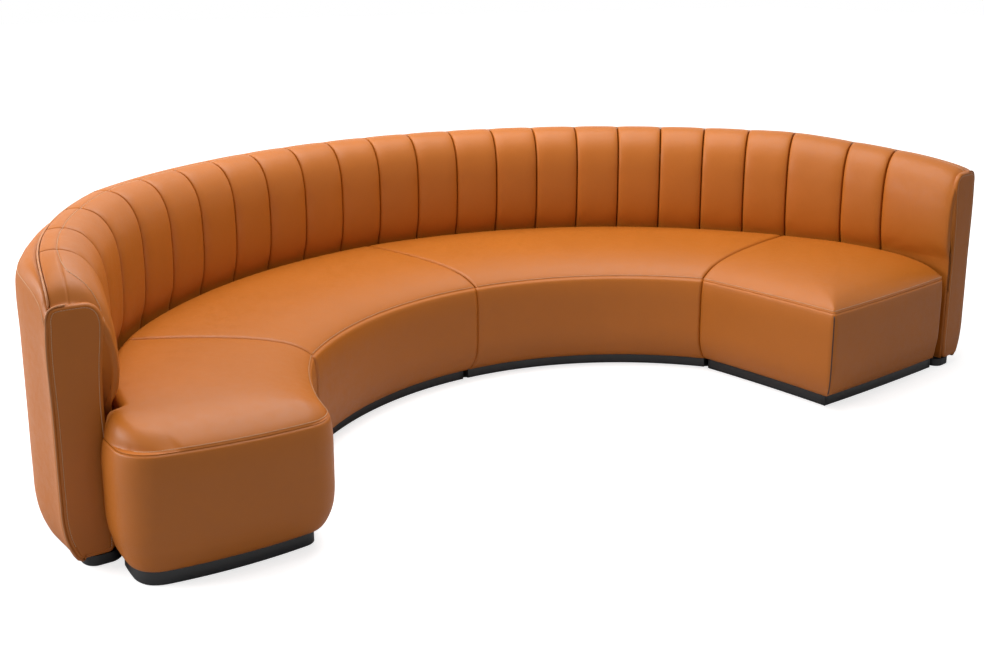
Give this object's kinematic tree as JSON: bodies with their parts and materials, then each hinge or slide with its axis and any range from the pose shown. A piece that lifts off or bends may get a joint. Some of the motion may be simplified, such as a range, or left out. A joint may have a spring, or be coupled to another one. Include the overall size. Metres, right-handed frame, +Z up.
{
  "type": "curved sectional sofa",
  "caption": "C-shaped sectional sofa in leather: a tall vertically channelled back bent round seat sections that hook onto it, on recessed plinths.",
  "frame": {"origin": "middle of the footprint's box, on the floor", "axes": "+X along the width, to the right for someone facing the sofa; +Y from the open side towards the back; +Z up"},
  "size_m": [3.3366, 1.5972, 0.843],
  "materials": {
    "leather": "fine-grained tan leather, satin",
    "foam": "open-cell seat foam",
    "plywood": "raw plywood",
    "plinth": "satin black lacquer",
    "cloth": "black woven cloth",
    "glide": "moulded plastic",
    "steel": "zinc-plated"
  },
  "bodies": {
    "back": {"back_bolts": "steel", "back_centre_left_channels": "leather", "back_centre_left_frame": "plywood", "back_centre_left_outer": "leather", "back_centre_left_plinth": "plinth", "back_centre_right_channels": "leather", "back_centre_right_frame": "plywood", "back_centre_right_outer": "leather", "back_centre_right_plinth": "plinth", "back_glides": "glide", "back_receivers": "steel", "back_return_channels": "leather", "back_return_end_panel": "leather", "back_return_frame": "plywood", "back_return_outer": "leather", "back_return_plinth": "plinth", "back_right_channels": "leather", "back_right_end_panel": "leather", "back_right_frame": "plywood", "back_right_outer": "leather", "back_right_plinth": "plinth"},
    "seat_left_end": {"seat_left_end_border": "leather", "seat_left_end_dust_cover": "cloth", "seat_left_end_foam": "foam", "seat_left_end_frame": "plywood", "seat_left_end_glides": "glide", "seat_left_end_hooks": "steel", "seat_left_end_plinth": "plinth", "seat_left_end_top": "leather", "seat_left_end_webbing": "cloth"},
    "seat_left": {"seat_left_border": "leather", "seat_left_dust_cover": "cloth", "seat_left_foam": "foam", "seat_left_frame": "plywood", "seat_left_glides": "glide", "seat_left_hooks": "steel", "seat_left_plinth": "plinth", "seat_left_top": "leather", "seat_left_webbing": "cloth"},
    "seat_right": {"seat_right_border": "leather", "seat_right_dust_cover": "cloth", "seat_right_foam": "foam", "seat_right_frame": "plywood", "seat_right_glides": "glide", "seat_right_hooks": "steel", "seat_right_plinth": "plinth", "seat_right_top": "leather", "seat_right_webbing": "cloth"},
    "seat_right_end": {"seat_right_end_border": "leather", "seat_right_end_dust_cover": "cloth", "seat_right_end_foam": "foam", "seat_right_end_frame": "plywood", "seat_right_end_glides": "glide", "seat_right_end_hooks": "steel", "seat_right_end_plinth": "plinth", "seat_right_end_top": "leather", "seat_right_end_webbing": "cloth"}
  },
  "joints": [
    {"name": "seat_left_end_lift", "type": "slide", "parent": "back", "child": "seat_left_end", "axis": [0, 0, 1], "range_m": [0, 0.04]},
    {"name": "seat_left_lift", "type": "slide", "parent": "back", "child": "seat_left", "axis": [0, 0, 1], "range_m": [0, 0.04]},
    {"name": "seat_right_lift", "type": "slide", "parent": "back", "child": "seat_right", "axis": [0, 0, 1], "range_m": [0, 0.04]},
    {"name": "seat_right_end_lift", "type": "slide", "parent": "back", "child": "seat_right_end", "axis": [0, 0, 1], "range_m": [0, 0.04]}
  ]
}
